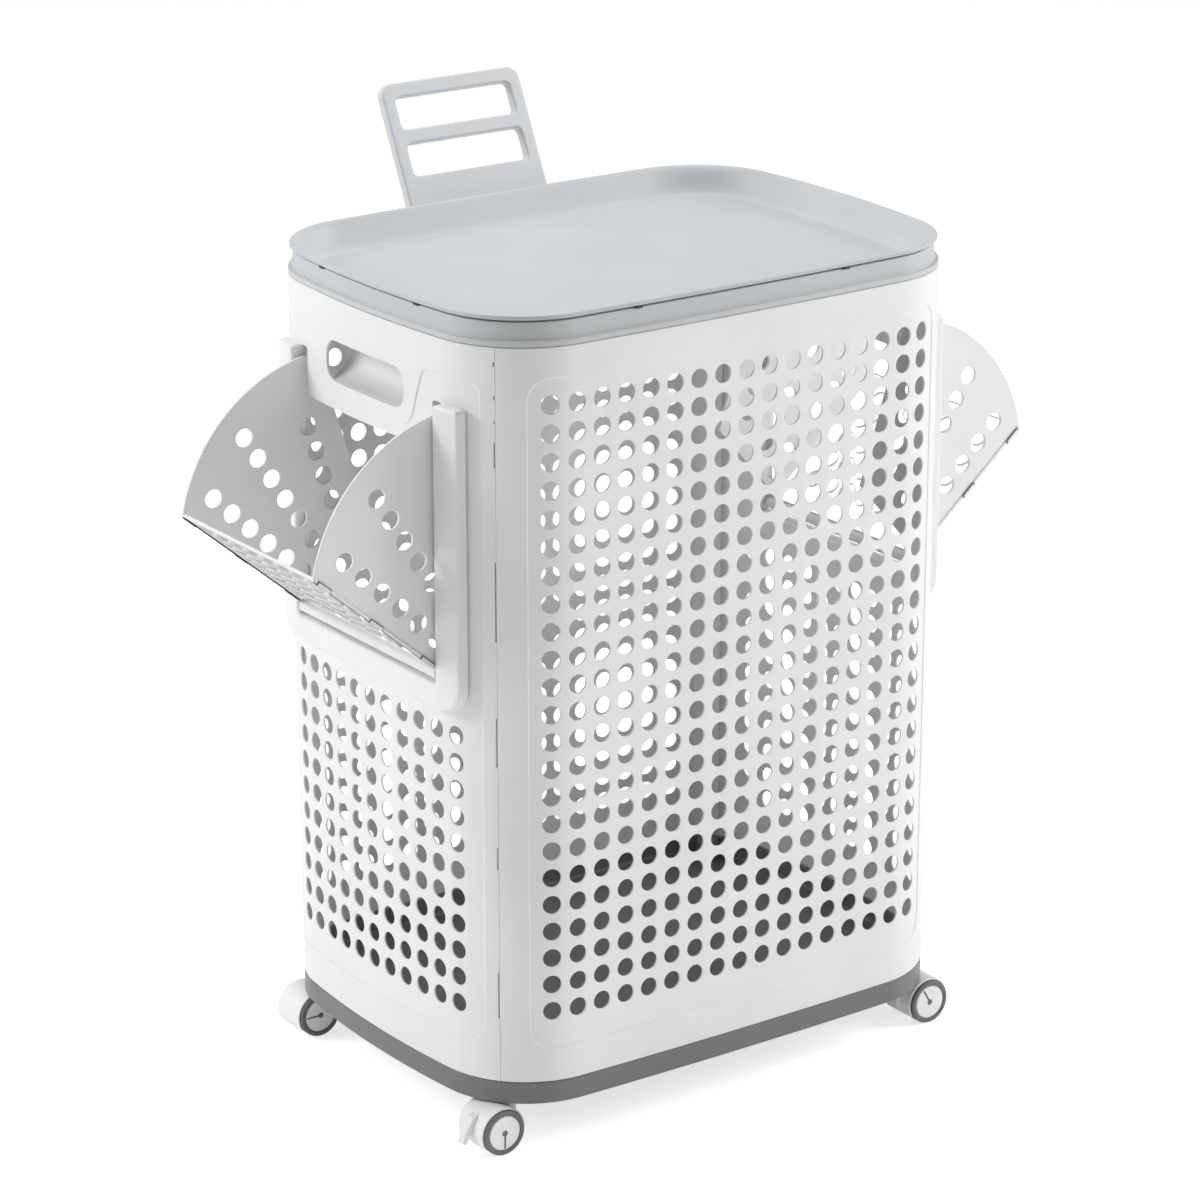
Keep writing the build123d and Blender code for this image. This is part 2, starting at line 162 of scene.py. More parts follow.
def rounded(*corners, steps=6):
    """Closed outline through corners (x, y, radius), each turned by an arc."""
    loop = []
    for i, (x, y, radius) in enumerate(corners):
        here = Vector((x, y))
        back = (Vector(corners[i - 1][:2]) - here).normalized()
        ahead = (Vector(corners[(i + 1) % len(corners)][:2]) - here).normalized()
        if radius == 0:
            loop.append((x, y))
            continue
        half = back.angle(ahead) / 2
        centre = here + (back + ahead).normalized() * radius / sin(half)
        start = here + back * radius / tan(half) - centre
        end = here + ahead * radius / tan(half) - centre
        turn = atan2(start.x * end.y - start.y * end.x, start.dot(end))
        for step in range(steps + 1):
            a = turn * step / steps
            loop.append((centre.x + start.x * cos(a) - start.y * sin(a),
                         centre.y + start.x * sin(a) + start.y * cos(a)))
    return loop


def box_outline(half, bottom, top, radius):
    return rounded((-half, bottom, radius), (half, bottom, radius), (half, top, radius), (-half, top, radius))


def divided(loop, step):
    """The closed loop with its long runs cut into steps."""
    points = []
    for here, after in zip(loop, loop[1:] + loop[:1]):
        run = Vector(after) - Vector(here)
        count = max(1, ceil(run.length / step - 0.01))
        points += [(here[0] + run.x * i / count, here[1] + run.y * i / count) for i in range(count)]
    return points


def circle(x, y, radius, count=24):
    """Round hole's outline, with the material on its left."""
    angles = [2 * pi * i / count for i in range(count)]
    return [(x + radius * cos(a), y - radius * sin(a)) for a in angles]


def depth_inside(points, loop):
    """How far each point lies inside the closed loop, or minus how far outside."""
    p = np.array([tuple(q) for q in points])[:, None]
    a = np.array(loop)
    b = np.roll(a, -1, 0)
    edge = b - a
    along = np.clip(((p - a) * edge).sum(2) / (edge ** 2).sum(1), 0, 1)
    gap = np.linalg.norm(p - a - along[..., None] * edge, axis=2).min(1)
    rising = (a[:, 1] > p[..., 1]) != (b[:, 1] > p[..., 1])
    run = np.where(edge[:, 1] == 0, 1, edge[:, 1])
    crossed = rising & (p[..., 0] < edge[:, 0] * (p[..., 1] - a[:, 1]) / run + a[:, 0])
    return np.where(crossed.sum(1) % 2 == 1, gap, -gap)


def plate(shape, outline, holes, thickness, place, radius=0.8, steps=2, relief=None, guides=(), grid=()):
    """Sheet with holes and rounded edges. place(u, v, out) sets its points in space; relief(points)
    says how far the outer face stands out at each point, and guides are loops that it follows."""
    loops = [outline, *holes]
    points, edges, faces = [], [], []
    for loop in loops:
        rim = inset(loop, radius)
        order = list(range(len(points), len(points) + len(rim)))
        faces.append(order if loop is outline else order[::-1])
        points += rim
    for guide in guides:
        first = len(points)
        edges += [(first + i, first + (i + 1) % len(guide)) for i in range(len(guide))]
        points += guide
    points += grid
    flat, _, triangles, _, _, origins = delaunay_2d_cdt([Vector(p) for p in points], edges, faces, 0, 1e-4)
    triangles = [list(t) for t, origin in zip(triangles, origins) if origin == [0]]
    level = relief(flat) if relief else [0.0] * len(flat)
    shape.add([place(p[0], p[1], out) for p, out in zip(flat, level)], triangles)
    shape.add([place(p[0], p[1], -thickness) for p in flat], [t[::-1] for t in triangles])
    turns = [i * pi / 2 / steps for i in range(steps + 1)]
    quarter = [(radius * (1 - sin(a)), radius * (1 - cos(a))) for a in turns]
    for loop in loops:
        top = relief(inset(loop, radius)) if relief else [0.0] * len(loop)
        rows = [[place(u, v, out - depth) for (u, v), out in zip(inset(loop, move), top)]
                for move, depth in quarter]
        rows += [[place(u, v, depth - thickness) for u, v in inset(loop, move)]
                 for move, depth in reversed(quarter)]
        shape.rows(rows)


def lathe(shape, profile, place, start=0.0, sweep=2 * pi, count=48):
    """Solid turned from a closed profile of (radius, along) points; place(x, along, z) sets it down."""
    whole = sweep >= 2 * pi
    rows = []
    for i in range(count if whole else count + 1):
        a = start + sweep * i / count
        rows.append([place(r * cos(a), along, r * sin(a)) for r, along in profile])
    if whole:
        rows.append(rows[0])
    else:
        shape.cap(rows[0])
        shape.cap(rows[-1])
    shape.rows(rows)


# ---- the body's outline -------------------------------------------------------------------
def bow_radius(chord, rise):
    return (chord ** 2 + rise ** 2) / (2 * rise)


front_radius = bow_radius(body_width / 2 - side_bow, front_bow)
side_radius = bow_radius(body_depth / 2 - front_bow, side_bow)


def corner_centre():
    """Middle of the corner arc that touches both the front and the side arc."""
    front = Vector((0, body_depth / 2 - front_radius))
    side = Vector((body_width / 2 - side_radius, 0))
    to_front, to_side = front_radius - corner_radius, side_radius - corner_radius
    apart = (side - front).length
    along = (apart ** 2 + to_front ** 2 - to_side ** 2) / (2 * apart)
    aside = sqrt(to_front ** 2 - along ** 2)
    line = (side - front).normalized()
    return max((front + line * along + Vector((-line.y, line.x)) * s * aside for s in (1, -1)), key=min)


corner_x, corner_y = corner_centre()
seam = 0.57                 # half the gap between two panels
seam_turn = radians(50)     # where the corner seam lies, turned from square to the front


class Face:
    """One of the four faces of the body, from seam to seam, in its own two directions. Its bow has the
    given radius and apex, and the seams lie where the corner has turned by reach from square to it."""

    def __init__(self, radius, apex, corner_across, corner_ahead, right, outward, reach):
        self.radius, self.apex = radius, apex
        self.corner = (corner_across, corner_ahead)
        self.right, self.outward = Vector(right), Vector(outward)
        self.turn = atan2(corner_across, corner_ahead - apex + radius)
        self.flat = radius * self.turn
        self.half = self.flat + corner_radius * (reach - self.turn)

    def place(self, u, z, out=0.0):
        """Point at run u along the outline from the face's middle, standing out by out."""
        run, side = abs(u), (1 if u >= 0 else -1)
        if run <= self.flat:
            a, r, across, ahead = run / self.radius, self.radius + out, 0.0, self.apex - self.radius
        else:
            a, r = self.turn + (run - self.flat) / corner_radius, corner_radius + out
            across, ahead = self.corner
        spot = self.right * side * (across + r * sin(a)) + self.outward * (ahead + r * cos(a))
        return Vector((spot.x, spot.y + middle_y, z)) * mm


front_face = Face(front_radius, body_depth / 2, corner_x, corner_y, (1, 0), (0, -1), seam_turn)
right_face = Face(side_radius, body_width / 2, corner_y, corner_x, (0, 1), (1, 0), pi / 2 - seam_turn)
back_face = Face(front_radius, body_depth / 2, corner_x, corner_y, (-1, 0), (0, 1), seam_turn)
left_face = Face(side_radius, body_width / 2, corner_y, corner_x, (0, -1), (-1, 0), pi / 2 - seam_turn)


def outline_stations(step=3.0):
    """(face, u) all the way round the body, about step apart along it."""
    stations = []
    for face in (front_face, right_face, back_face, left_face):
        count = 2 * ceil(face.half / step)
        stations += [(face, -face.half + 2 * face.half * i / count) for i in range(count)]
    return stations


stations = outline_stations()


def ring(shape, profile, closed=True):
    """Hoop round the body from (inset, height) points."""
    rows = [[face.place(u, z, -draw) for face, u in stations] for draw, z in profile]
    if closed:
        rows.append(rows[0])
    shape.rows(rows)


def floor_cap(shape, draw, z, step=26.0):
    """Flat sheet that fills the outline drawn in by draw."""
    loops = [[face.place(u, z, -draw) for face, u in stations]]
    middle = Vector((0, middle_y, z)) * mm
    for share in (0.75, 0.5, 0.25):
        loops.append([middle + (point - middle) * share for point in loops[0]])
    shape.rows(loops)
    shape.cap(loops[-1])


def arc_points(x, z, radius, start, end, steps=4):
    """(inset, height) points round an arc, with angles in degrees from +inset towards +height."""
    return [(x + radius * cos(radians(start + (end - start) * i / steps)),
             z + radius * sin(radians(start + (end - start) * i / steps))) for i in range(steps + 1)]


# ---- materials ----------------------------------------------------------------------------
def plastic(name, colour, roughness=0.42, grain=0.25, grain_size=0.0006, mottle=0.03, coat=0.0):
    """Moulded plastic: faint mottle in the colour, uneven gloss and a fine spark-eroded grain."""
    material = bpy.data.materials.new(name)
    material.use_nodes = True
    nodes, links = material.node_tree.nodes, material.node_tree.links
    shader = nodes["Principled BSDF"]
    where = nodes.new("ShaderNodeTexCoord")

    def noise(scale, detail=3.0):
        node = nodes.new("ShaderNodeTexNoise")
        node.inputs["Scale"].default_value = scale
        node.inputs["Detail"].default_value = detail
        links.new(where.outputs["Object"], node.inputs["Vector"])
        return node.outputs["Fac"]

    tint = nodes.new("ShaderNodeValToRGB")
    tint.color_ramp.elements[0].position, tint.color_ramp.elements[1].position = 0.3, 0.7
    tint.color_ramp.elements[0].color = (*[c * (1 - mottle) for c in colour], 1)
    tint.color_ramp.elements[1].color = (*[min(1, c * (1 + mottle)) for c in colour], 1)
    links.new(noise(9.0), tint.inputs["Fac"])
    links.new(tint.outputs["Color"], shader.inputs["Base Color"])

    gloss = nodes.new("ShaderNodeMapRange")
    gloss.inputs["To Min"].default_value = roughness - 0.06
    gloss.inputs["To Max"].default_value = roughness + 0.06
    links.new(noise(35.0), gloss.inputs["Value"])
    links.new(gloss.outputs["Result"], shader.inputs["Roughness"])

    bump = nodes.new("ShaderNodeBump")
    bump.inputs["Strength"].default_value = grain
    bump.inputs["Distance"].default_value = 0.0002
    links.new(noise(1 / grain_size, 2.0), bump.inputs["Height"])
    links.new(bump.outputs["Normal"], shader.inputs["Normal"])
    shader.inputs["Coat Weight"].default_value = coat
    shader.inputs["Specular IOR Level"].default_value = 0.42
    return material


def metal(name, colour, roughness=0.25):
    """Zinc plating with a fine grain."""
    material = plastic(name, colour, roughness, grain=0.35, grain_size=0.0004)
    material.node_tree.nodes["Principled BSDF"].inputs["Metallic"].default_value = 1.0
    return material


panel_white = plastic("panel_white_plastic", (0.86, 0.865, 0.87), 0.4)
# whiter than the panels: a painted highlight for the bright line along the corner seams
seam_highlight_white = plastic("seam_highlight_white_plastic", (0.96, 0.96, 0.965), 0.4, grain=0.1)
chute_white = plastic("chute_white_plastic", (0.82, 0.83, 0.84), 0.38)
base_grey = plastic("base_grey_plastic", (0.18, 0.187, 0.195), 0.34, grain=0.3)
collar_grey = plastic("collar_grey_plastic", (0.60, 0.618, 0.632), 0.38)
tray_grey = plastic("tray_grey_plastic", (0.55, 0.573, 0.59), 0.45, grain=0.35)
handle_grey = plastic("handle_grey_plastic", (0.62, 0.635, 0.65), 0.42)
caster_white = plastic("caster_white_plastic", (0.92, 0.925, 0.93), 0.35)
tyre_grey = plastic("tyre_grey_rubber", (0.17, 0.175, 0.18), 0.6, grain=0.5, grain_size=0.0004)
mark_grey = plastic("mark_grey_plastic", (0.16, 0.165, 0.17), 0.5)
# near-black plastic that is painted shade: it stands for the shadow in gaps and slits
painted_shadow_dark = plastic("painted_shadow_dark_plastic", (0.05, 0.052, 0.055), 0.6)
steel = metal("zinc_plated_steel", (0.62, 0.62, 0.63))

# ---- perforated panels --------------------------------------------------------------------
recess_depth, recess_width = 1.0, 0.9
recess_radius = 20.0


def recess(loop):
    """Relief that steps down inside the loop."""
    def level(points):
        t = np.clip(depth_inside(points, loop) / recess_width, 0, 1)
        return -recess_depth * t * t * (3 - 2 * t)
    return level


def recess_guides(loop):
    return [inset(loop, recess_width * share) for share in (0, 0.33, 0.67, 1)]


def hole_grid(columns, rows):
    """Outlines of the perforations and the points midway between four of them."""
    places = [((c - (columns - 1) / 2) * pitch, first_row + r * pitch)
              for c in range(columns) for r in range(rows)]
    holes = [circle(x, z, hole_radius) for x, z in places]
    between = [(x + pitch / 2, z + pitch / 2) for x, z in places
               if x < (columns - 1) / 2 * pitch and z < first_row + (rows - 1) * pitch]
    return holes, between


def spread(face, keep_off, step=7.0):
    """Points over a whole face that stay clear of the loops in keep_off."""
    across, up = int(2 * face.half / step), int((panel_high.z - panel_low.z) / step)
    points = [(-face.half + 2 * face.half * i / across, panel_low.z + (panel_high.z - panel_low.z) * j / up)
              for i in range(1, across) for j in range(1, up)]
    for loop, reach, hollow in keep_off:
        gap = depth_inside(points, loop)
        points = [p for p, g in zip(points, gap) if (g < -reach if hollow else abs(g) > reach)]
    return points


def panel_edge(face):
    half = face.half - seam
    return divided([(-half, panel_low.z + 0.15), (half, panel_low.z + 0.15),
                    (half, panel_high.z - 0.15), (-half, panel_high.z - 0.15)], 5.0)


def front_panel():
    """The front: a recessed field of holes."""
    holes, between = hole_grid(front_columns, front_rows)
    field_half = (front_columns - 1) / 2 * pitch + 19.5
    edge = panel_edge(front_face)
    line = divided(box_outline(field_half, panel_low.z + 30, panel_high.z - 25, recess_radius), 6.0)
    holes_box = box_outline((front_columns - 1) / 2 * pitch + 9, first_row - 9,
                            first_row + (front_rows - 1) * pitch + 9, 3)
    keep_off = [(holes_box, 1.5, True), (line, 2.4, False), (edge, 3.0, False)]
    shape = Shape()
    plate(shape, edge, holes, wall, front_face.place, relief=recess(line), guides=recess_guides(line),
          grid=between + spread(front_face, keep_off))
    return piece("front_panel_shell", shape, "hamper_body", panel_white, ("front_panel",))


def side_panel():
    """The left side: holes below, the chute's opening with a slot up each side, and the hand hole."""
    holes, between = hole_grid(side_columns, side_rows)
    inner = opening_half - slot_width
    mouth = rounded((-opening_half, opening_bottom, 2), (-opening_half, slot_top, 2), (-inner, slot_top, 2),
                    (-inner, opening_top, 2), (inner, opening_top, 2), (inner, slot_top, 2),
                    (opening_half, slot_top, 2), (opening_half, opening_bottom, 2))
    hand = box_outline(hand_half, hand_bottom, hand_top, 14)[::-1]
    half, tab_wide, tab_narrow = 148, 84, 66
    bottom, tab, top = panel_low.z + 33, panel_low.z + 558, panel_high.z - 29
    line = rounded((-half, bottom, 20), (half, bottom, 20), (half, top, 12), (tab_wide, top, 12),
                   (tab_narrow, tab, 14), (-tab_narrow, tab, 14), (-tab_wide, top, 12), (-half, top, 12))
    line = divided(line, 6.0)
    edge = panel_edge(left_face)
    holes_box = box_outline((side_columns - 1) / 2 * pitch + 9, first_row - 9,
                            first_row + (side_rows - 1) * pitch + 9, 3)
    keep_off = [(holes_box, 1.5, True), (mouth, 3.0, True), (hand, 3.0, True), (line, 2.4, False),
                (edge, 3.0, False)]
    cut = divided(mouth, 7.0)
    shape = Shape()
    plate(shape, edge, holes + [cut, divided(hand, 7.0)], wall, left_face.place, relief=recess(line),
          guides=recess_guides(line), grid=between + spread(left_face, keep_off))
    return piece("left_panel_shell", shape, "hamper_body", panel_white, ("left_panel",))


def at_left(face):
    """Flat place on the left side: u along Y, v up, out away from the body."""
    return lambda u, v, out=0.0: Vector((-face - out, u + middle_y, v)) * mm


def chute_frame():
    """Raised bar down both sides of the chute and below it."""
    outer = opening_half + frame_bar
    loop = rounded((-outer, frame_bottom, 24), (outer, frame_bottom, 24), (outer, slot_top, 3),
                   (opening_half, slot_top, 3), (opening_half, opening_bottom, 5),
                   (-opening_half, opening_bottom, 5), (-opening_half, slot_top, 3), (-outer, slot_top, 3))
    across = [side * (opening_half + reach) for side in (-1, 1) for reach in (7, 13, 19)]
    grid = [(u, z) for u in across for z in range(int(frame_bottom) + 30, int(slot_top) - 4, 12)]

    def follow(points):
        """The bars lean back with the swell of the side."""
        return [-5 * min(1, max(0, (abs(u) - opening_half) / frame_bar)) ** 2 for u, v in points]

    shape = Shape()
    plate(shape, divided(loop, 12.0), [], frame_face - 242, at_left(frame_face), radius=2.6, steps=4,
          relief=follow, grid=grid)
    return piece("left_chute_frame", shape, "hamper_body", panel_white)


def hand_scoop():
    """Curled wall behind the hand hole."""
    reach = body_width / 2 - wall + 1
    centre = hand_bottom + scoop_radius
    sweep = [radians(-90 + 90 * i / 10) for i in range(11)]
    outer = scoop_radius + scoop_wall
    section = [(outer * cos(a), centre + outer * sin(a)) for a in sweep]
    section += [(scoop_radius * cos(a), centre + scoop_radius * sin(a)) for a in reversed(sweep)]
    shape = Shape()
    plate(shape, section, [], 2 * hand_half - 0.4,
          lambda u, v, out=0.0: Vector((u - reach, middle_y + hand_half - 0.2 + out, v)) * mm, radius=0.6)
    return piece("left_hand_scoop", shape, "hamper_body", panel_white)


def seam_clips():
    """Slim ridges that close the corner seams between the snap hooks, leaving slits at these heights. Their
    plastic is whiter than the panels' as a painted highlight along the seam.
    """
    shape = Shape()
    section = [(0.6, -0.1), (0.25, 0.35), (-0.25, 0.35), (-0.6, -0.1), (-0.5, -2.8), (0.5, -2.8)]
    slits = ((58, 100), (192, 212), (283, 326), (392, 460), (540, 561), (577, 579), (597, 600), (624, 628))
    ends = [0.3] + [z for slit in slits for z in slit] + [panel_high.z - panel_low.z - 0.3]
    for face in (front_face, right_face, back_face, left_face):
        for bottom, top in zip(ends[::2], ends[1::2]):
            low, high = panel_low.z + bottom, panel_low.z + top
            rows = [[face.place(face.half + x, z, out) for x, out in section] for z in (low, high)]
            shape.rows(rows)
            shape.cap(rows[0])
            shape.cap(rows[1])
    return piece("seam_clips", shape, "hamper_body", seam_highlight_white)


front = front_panel()
copied(front, "back_panel_shell", "hamper_body", mirror_y, ("back_panel",))
left = side_panel()
copied(left, "right_panel_shell", "hamper_body", mirror_x, ("right_panel",))
for part, name in ((chute_frame(), "right_chute_frame"), (hand_scoop(), "right_hand_scoop")):
    copied(part, name, "hamper_body", mirror_x)
seam_clips()


# ---- base, collar and tray ----------------------------------------------------------------
def base():
    """Dark base: skirt, groove, upstand inside the panels and floor."""
    low, rim, top = base_low.z, panel_low.z, base_high.z
    skin, grip = wall, wall + 0.3
    inner, ground = 2 * wall + 0.3, base_low.z + 15
    upstand = rim + 15
    boss_radius, socket_radius = 10.0, 6.1
    profile = [(skin, low), *arc_points(1.2, low + 1.2, 1.2, 270, 180), (0, rim - 1.6),
               *arc_points(0.8, rim - 1.0, 0.8, 180, 90), (1.4, rim - 0.6), (1.4, rim), (grip, rim),
               (grip, upstand - 0.8), (grip + 0.8, upstand), (inner - 0.8, upstand), (inner, upstand - 0.8),
               (inner, ground + 2), (inner + 2, ground)]
    shape = Shape()
    ring(shape, profile, closed=False)
    floor_cap(shape, inner + 2, ground)
    ring(shape, [(skin, low), (skin, ground - 3)], closed=False)
    floor_cap(shape, skin, ground - 3)
    for stem in ("front_left", "front_right", "back_left", "back_right"):
        stem_low, stem_high = node_box(f"caster_{stem}_stem")
        x, y = (stem_low.x + stem_high.x) / 2, (stem_low.y + stem_high.y) / 2
        boss = [(socket_radius, low + 0.5), (boss_radius - 0.6, low + 0.5), (boss_radius, low + 1.2),
                (boss_radius, ground - 3), (boss_radius, top - 1.2), (boss_radius - 0.8, top),
                (0.4, top), (0.4, top - 4), (socket_radius, top - 4)]
        lathe(shape, boss, lambda px, z, py, x=x, y=y: Vector((x + px, y + py, z)) * mm)
    return piece("base_shell", shape, "hamper_body", base_grey, ("base_tray",))


def collar():
    """Grey collar: lip flush with the panels, then drawn in, with a skirt inside them."""
    low, seat, top = collar_low.z, panel_high.z, collar_high.z - 2
    lip = seat + 5
    profile = [(3.3, low), (3.3, seat), (1.5, seat), (1.2, seat + 0.6), (0.3, seat + 0.8), (0, seat + 1.2),
               (0, lip - 0.9), (0.4, lip - 0.2), (1.0, lip), (2.7, lip + 0.2), (3.2, lip + 0.8),
               (4.7, top - 1.2), *arc_points(5.5, top - 0.8, 0.8, 160, 90),
               (6.3, top), (6.8, top - 0.5), (6.8, low)]
    shape = Shape()
    ring(shape, profile)
    return piece("collar_ring", shape, "hamper_body", collar_grey, ("top_collar",))


def collar_rests():
    """Small feet on the collar that carry the tray's rim, coloured near black as painted shade for the shadow
    gaps under the rim.
    """
    shape = Shape()
    top, height, half, inner, outer = collar_high.z, 2.4, 3, -6.6, -3.2
    spread_front, spread_side = 106, 72
    spots = [(face, side * run) for face, run in ((front_face, spread_front), (back_face, spread_front),
                                                  (left_face, spread_side), (right_face, spread_side))
             for side in (-1, 1)]
    for face, spot in spots:
        loop = [(spot - half, inner), (spot + half, inner), (spot + half, outer), (spot - half, outer)]
        rows = [[face.place(u, z, out) for u, out in loop] for z in (top - height, top)]
        shape.rows(rows)
        shape.cap(rows[0])
        shape.cap(rows[1])
    # near black: painted shade for the shadow gap between the tray and the collar
    return piece("collar_rests", shape, "hamper_body", painted_shadow_dark)


def tray():
    """Lid: a flat tray with a flared wall and a rounded rim."""
    rim, under, floor = tray_high.z, tray_high.z - 3.7, tray_low.z + 2.5
    wall_inside = [(5.2, rim - 1.1), (7.2, rim - 3.6), (9.2, rim - 7.4), (11.4, rim - 12.2), (13.8, rim - 17),
                   (16.4, rim - 20.8), (19, rim - 23.3), (21.8, rim - 24.5)]
    profile = [(17.5, tray_low.z + 0.9), (16.2, tray_low.z + 2.6), (7.8, under - 1.6), (7.0, under),
               (2.5, under), *arc_points(2.5, under + 1, 1, 270, 180),
               *arc_points(2.9, rim - 1.4, 1.4, 180, 90), (3.9, rim - 0.1), *wall_inside,
               (23.2, floor + 0.1), (23.7, floor + 0.45), (24.3, floor + 0.45), (24.8, floor)]
    shape = Shape()
    ring(shape, profile, closed=False)
    floor_cap(shape, 24.8, floor)
    ring(shape, [(17.5, tray_low.z + 0.9), (19.5, tray_low.z)], closed=False)
    floor_cap(shape, 19.5, tray_low.z)
    return piece("tray_shell", shape, "tray", tray_grey, ("tray_lid",), crease=60)


base()
collar()
collar_rests()
tray()

# ---- chutes -------------------------------------------------------------------------------
rod_low, rod_high = node_box("left_hinge_rod")
hinge = Vector(((rod_low.x + rod_high.x) / 2, middle_y, (rod_low.z + rod_high.z) / 2))
open_angle = radians(49.5)
up_flap = Vector((-sin(open_angle), 0, cos(open_angle)))
into_body = Vector((cos(open_angle), 0, sin(open_angle)))
across = Vector((0, 1, 0))
flap_length, flap_half, sheet, slit = 157.0, 105.5, 3.0, 0.8
flap_holes_middle = 84.5
plate_face = 104.5
arc_centre, arc_radius = Vector((25.9, 74.4)), 150.5
plate_corner = Vector((133, 180.2))
fan_focus = Vector((-74.2, 17.6))
fan_rows = ((3, 94.5, 6), (17, 111.5, 6), (32, 132.0, 4))   # angle, first hole's distance, holes
tab_places, tab_length = (17.0, 81.0, 145.0), 17.0


def on_flap(u, v, out=0.0):
    """Place on the flap: u up it, v along Y, out away from the body."""
    return (hinge + up_flap * u + across * v - into_body * (out - sheet / 2)) * mm


def beside_chute(face, side):
    """Place on a side plate: u up the flap, v into the body, out away from the chute."""
    return lambda u, v, out=0.0: (hinge + up_flap * u + into_body * v + across * side * (face + out)) * mm


def chute_flap():
    """Perforated flap with knuckles round the hinge rod."""
    holes = [circle(flap_holes_middle + (r - 2) * pitch, (c - 3) * pitch, hole_radius)
             for r in range(5) for c in range(7)]
    outline = rounded((4, -flap_half, 0.5), (flap_length, -flap_half, 2), (flap_length, flap_half, 2),
                      (4, flap_half, 0.5))
    shape = Shape()
    plate(shape, outline, holes, sheet, on_flap, radius=0.8, steps=3)
    knuckle = [(2.7, -flap_half), (4.5, -flap_half), (5, 0.5 - flap_half), (5, flap_half - 0.5),
               (4.5, flap_half), (2.7, flap_half)]
    lathe(shape, knuckle, lambda x, y, z: (hinge + Vector((x, y, z))) * mm, count=32)
    return piece("left_flap_shell", shape, "left_chute", chute_white, ("left_chute_flap",))


def circle_through(a, b, c):
    """Centre and radius of the circle through three points."""
    first, second = b - a, c - a
    area = 2 * (first.x * second.y - first.y * second.x)
    centre = a + Vector((second.y * first.length_squared - first.y * second.length_squared,
                         first.x * second.length_squared - second.x * first.length_squared)) / area
    return centre, (a - centre).length


def side_plate():
    """Fan-shaped side plate with its three rows of holes."""
    tip = Vector((flap_length, sheet / 2 + slit))
    crown = arc_centre + Vector((cos(radians(12)), sin(radians(12)))) * arc_radius
    centre, reach = circle_through(tip, crown, plate_corner)
    first, last = (atan2(end.y - centre.y, end.x - centre.x) for end in (tip, plate_corner))
    steps = 40
    loop = [(centre.x + reach * cos(first + (last - first) * i / steps),
             centre.y + reach * sin(first + (last - first) * i / steps)) for i in range(steps + 1)]
    loop += [(4.8, 101), (6.5, 7), (6.5, tip.y)]
    holes = []
    for angle, start, count in fan_rows:
        for step in range(count):
            spot = fan_focus + Vector((cos(radians(angle)), sin(radians(angle)))) * (start + pitch * step)
            holes.append(circle(spot.x, spot.y, hole_radius, 32))
    # a hole that would break out through the edge is left out
    holes = [hole for hole in holes if min(depth_inside(hole, loop)) > 1.2]
    shape = Shape()
    plate(shape, loop, holes, sheet, beside_chute(plate_face, -1), radius=0.8, steps=3)
    return piece("left_side_plate_front_shell", shape, "left_chute", chute_white,
                 ("left_side_plate_front",))


def knuckles():
    """Snap lugs that join the side plate to the flap. Each sits on a slightly larger near-black piece, and a
    near-black strip runs along the side plate by the flap's edge: both are painted shade for the gaps and the
    slit.
    """
    lugs, painted_gap_shade = Shape(), Shape()
    low, high = 0.6, sheet / 2 + slit + 1.4
    for side in (-1, 1):
        for place in tab_places:
            # the larger near-black pieces behind the lugs are painted shade for the gap round each lug
            for shape, grow, proud in ((lugs, 0.0, 0.9), (painted_gap_shade, 0.8, 0.5)):
                half, top = tab_length / 2 - 1.2 + grow, high + grow
                loop = rounded((place - half, low, 0.4), (place + half, low, 0.4),
                               (place + half, top, 0.4), (place - half, top, 0.4), steps=3)
                plate(shape, loop, [], 0.9, beside_chute(flap_half + proud, side), radius=0.2)
        # near-black strip on the side plate: painted shade for the slit along the flap, not a real gap
        line = [(7, 1.0), (flap_length - 1.5, 1.0), (flap_length - 1.5, 3.2), (7, 3.2)]
        plate(painted_gap_shade, line, [], 0.6, beside_chute(plate_face + 0.2, side), radius=0.1)
    return (piece("left_flap_lugs", lugs, "left_chute", chute_white),
            piece("left_flap_painted_gap_shade", painted_gap_shade, "left_chute", painted_shadow_dark))


flap = chute_flap()
plate_front = side_plate()
plate_back = copied(plate_front, "left_side_plate_back_shell", "left_chute", mirror_y,
                    ("left_side_plate_back",))
lugs, painted_gap_shade = knuckles()
for source, name, node in ((flap, "right_flap_shell", ("right_chute_flap",)),
                           (plate_front, "right_side_plate_front_shell", ("right_side_plate_front",)),
                           (plate_back, "right_side_plate_back_shell", ("right_side_plate_back",)),
                           (lugs, "right_flap_lugs", ()), (painted_gap_shade, "right_flap_painted_gap_shade", ())):
    copied(source, name, "right_chute", mirror_x, node)

# ---- handle -------------------------------------------------------------------------------
pin_low, pin_high = node_box("handle_pin")
plate_low, plate_high = node_box("handle_plate")
pin = Vector((0, (pin_low.y + pin_high.y) / 2, (pin_low.z + pin_high.z) / 2))
handle_lean = radians(26)
handle_length, handle_thickness = 134.0, 10.0
handle_half = (plate_high.x - plate_low.x) / 2
slot_length, slot_height, slot_places = 120.0, 29.0, (63.7, 106.0)


def on_handle(u, v, out=0.0):
    """Place on the handle: u along X, v up it, out towards the front."""
    along = Vector((0, sin(handle_lean), cos(handle_lean)))
    ahead = Vector((0, -cos(handle_lean), sin(handle_lean)))
    return (pin + Vector((u, 0, 0)) + along * v + ahead * (out + handle_thickness / 2)) * mm


